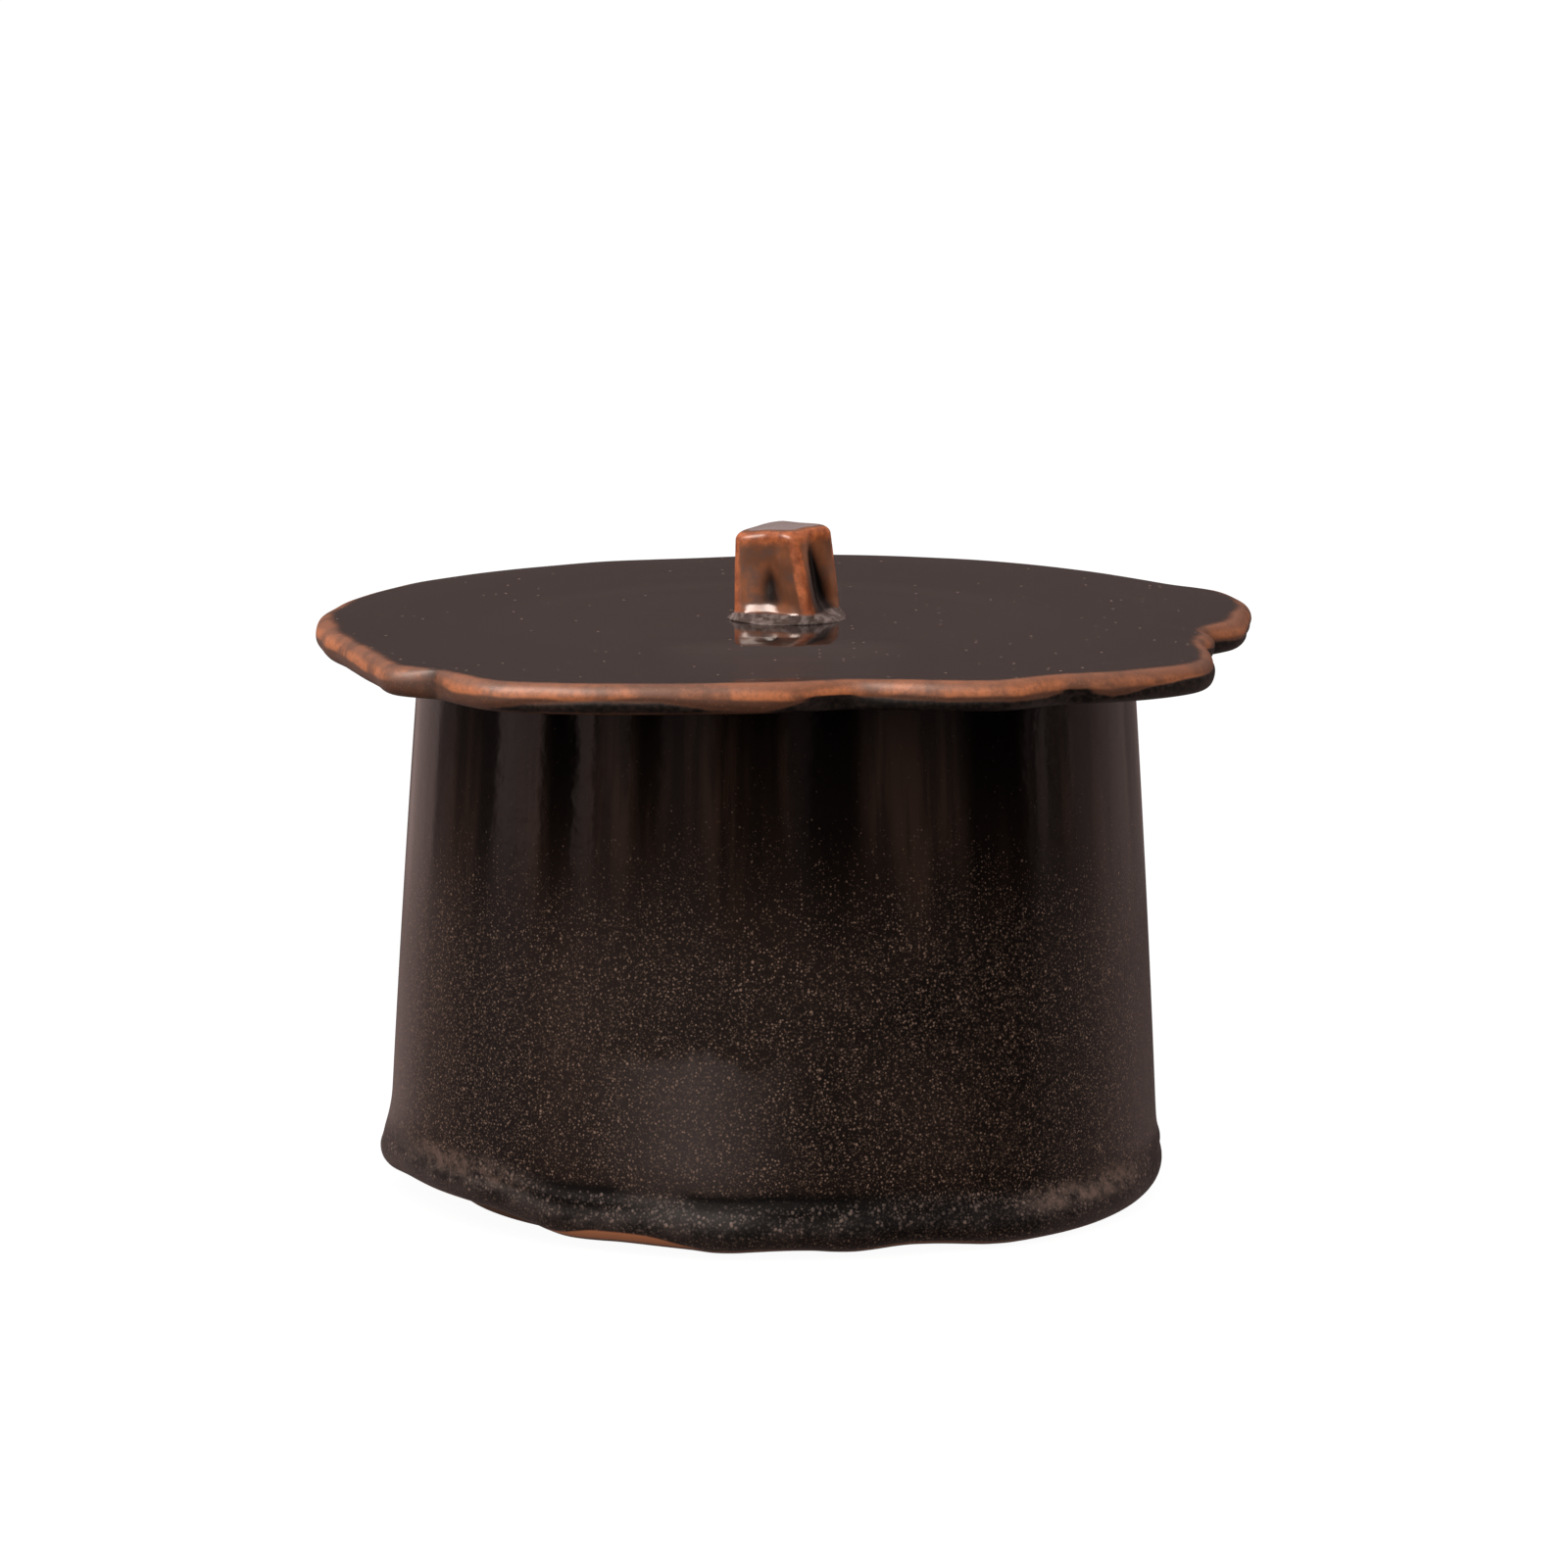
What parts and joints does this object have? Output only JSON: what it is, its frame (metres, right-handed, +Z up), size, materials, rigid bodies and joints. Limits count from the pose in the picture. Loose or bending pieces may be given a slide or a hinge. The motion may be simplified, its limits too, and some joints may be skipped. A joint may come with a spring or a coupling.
{
  "type": "lidded stoneware jar",
  "caption": "Wide round stoneware jar with a tapered wall, a wavy rolled glaze hem, a small foot ring, and a loose flat lid with an irregular leaf-like edge and a square knob.",
  "frame": {"origin": "centre of the foot ring, on the plane that the jar stands on", "axes": "+Z up, towards the knob; -Y is the front and +X is to the right seen from the front"},
  "size_m": [0.2063, 0.2119, 0.1464],
  "materials": {
    "jar_glaze": "satin-gloss dark iron glaze with small rust-brown oil spots",
    "lid_glaze": "satin-gloss dark iron glaze that breaks to rust orange along the edges",
    "bare_clay": "matt unglazed iron-bearing stoneware"
  },
  "bodies": {
    "jar": {"jar_wall": "jar_glaze", "base_slab": "jar_glaze", "foot_ring": "bare_clay"},
    "lid": {"lid_plate": "lid_glaze", "lid_flange": "bare_clay", "knob": "lid_glaze"}
  },
  "joints": [
    {"name": "lid_lift", "type": "slide", "parent": "jar", "child": "lid", "axis": [0, 0, 1], "range_m": [0, 0.1]}
  ]
}
